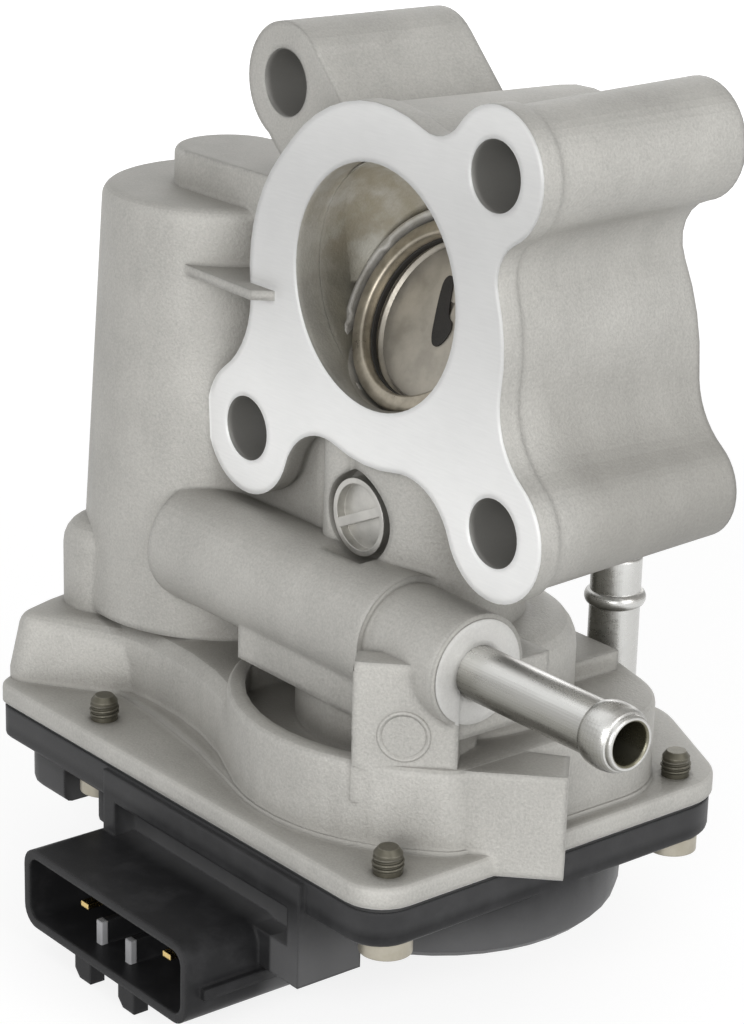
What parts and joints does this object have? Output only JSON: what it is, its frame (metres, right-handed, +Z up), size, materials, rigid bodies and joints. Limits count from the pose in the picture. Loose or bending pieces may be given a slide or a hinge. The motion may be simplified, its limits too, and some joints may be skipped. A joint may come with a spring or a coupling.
{
  "type": "egr valve",
  "caption": "Electric exhaust gas recirculation valve: oblique flap in a flanged cast duct, geared motor drive in a sealed cover, coolant pipes and a front-facing connector.",
  "frame": {"origin": "centre of the gas bore in the front flange face", "axes": "+Y along the gas duct from the front flange to the rear one, +Z up along the valve shaft towards the duct, +X along the front coolant pipe"},
  "size_m": [0.1292, 0.0888, 0.1343],
  "materials": {
    "cast_aluminium": "as-cast, machined on the flange faces",
    "machined_steel": "turned and ground",
    "dark_steel": "blackened",
    "sintered_bronze": "sintered",
    "zinc_steel": "bright zinc plate",
    "black_rubber": "moulded",
    "black_plastic": "glass-filled, moulded",
    "natural_nylon": "moulded",
    "brass": "stamped",
    "gold_pins": "plated",
    "copper": "enamelled wire",
    "magnet": "ferrite",
    "fastener_steel": "zinc plated"
  },
  "bodies": {
    "housing": {"valve_housing": "cast_aluminium", "seat_nozzle": "machined_steel", "shaft_bush": "sintered_bronze", "shaft_seal": "black_rubber", "bearing_outer_race": "machined_steel", "bearing_balls": "machined_steel", "bearing_circlip": "dark_steel", "return_spring": "dark_steel", "hall_sensor": "black_plastic", "intermediate_pin": "machined_steel", "motor_can": "zinc_steel", "motor_magnets": "magnet", "motor_end_plate": "zinc_steel", "brush_holder": "black_plastic", "motor_brushes": "magnet", "motor_terminals": "brass", "motor_bushes": "sintered_bronze", "motor_screws": "fastener_steel", "wave_washer": "dark_steel", "gear_cover": "black_plastic", "connector_pins": "gold_pins", "cover_gasket": "black_rubber", "cover_screws": "fastener_steel", "coolant_pipe_front": "zinc_steel", "coolant_pipe_rear": "zinc_steel", "gallery_plug": "fastener_steel"},
    "valve": {"valve_shaft": "machined_steel", "valve_disc": "machined_steel", "piston_ring": "dark_steel", "bearing_inner_race": "machined_steel", "spring_guide": "natural_nylon", "sector_gear": "natural_nylon", "sensor_magnet": "magnet"},
    "intermediate": {"intermediate_gear": "natural_nylon"},
    "rotor": {"motor_shaft": "machined_steel", "motor_armature": "copper", "motor_pinion": "brass"}
  },
  "joints": [
    {"name": "motor_spin", "type": "hinge", "parent": "housing", "child": "rotor", "pos_m": [-0.052, 0.0144, -0.06], "axis": [0, 0, 1], "range_deg": [0, 1173.33]},
    {"name": "intermediate_turn", "type": "hinge", "parent": "housing", "child": "intermediate", "pos_m": [-0.02976, 0.01708, -0.08], "axis": [0, 0, 1], "range_deg": [-320, 0]},
    {"name": "valve_turn", "type": "hinge", "parent": "housing", "child": "valve", "pos_m": [0, 0.0133, -0.06], "axis": [0, 0, 1], "range_deg": [0, 80], "stiffness_Nm_per_rad": 0.05, "springref_deg": -57.3}
  ],
  "couplings": [
    {"joint": "intermediate_turn", "follows": "motor_spin", "ratio": -0.27273},
    {"joint": "valve_turn", "follows": "motor_spin", "ratio": 0.068182}
  ]
}
